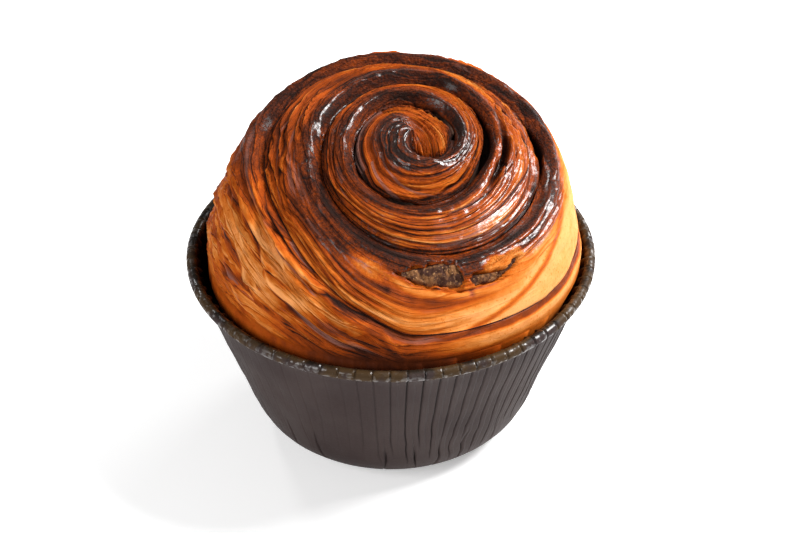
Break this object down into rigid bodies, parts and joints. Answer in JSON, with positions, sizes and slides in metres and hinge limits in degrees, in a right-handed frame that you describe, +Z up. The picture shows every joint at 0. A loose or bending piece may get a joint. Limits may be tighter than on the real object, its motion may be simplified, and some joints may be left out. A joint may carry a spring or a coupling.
{
  "type": "cinnamon swirl",
  "caption": "Laminated dough wound into a leaning domed spiral with dark cinnamon filling, glazed and baked in a dark pleated paper case.",
  "frame": {"origin": "centre of the flat underside of the paper case", "axes": "+Z up through the coil; the tear and the low end of the coil's last turn are towards -Y, which is the front; +X to the right seen from the front"},
  "size_m": [0.1, 0.1, 0.0865],
  "materials": {
    "paper": "dark greaseproof baking paper, faint sheen",
    "crust": "baked laminated dough with a glossy sugar glaze, nearly black on the crests and golden low on the side",
    "filling": "dark speckled cinnamon filling"
  },
  "bodies": {
    "root": {"paper_case": "paper", "dough_coil": "crust", "cinnamon_filling": "filling", "torn_filling": "filling"}
  },
  "joints": []
}
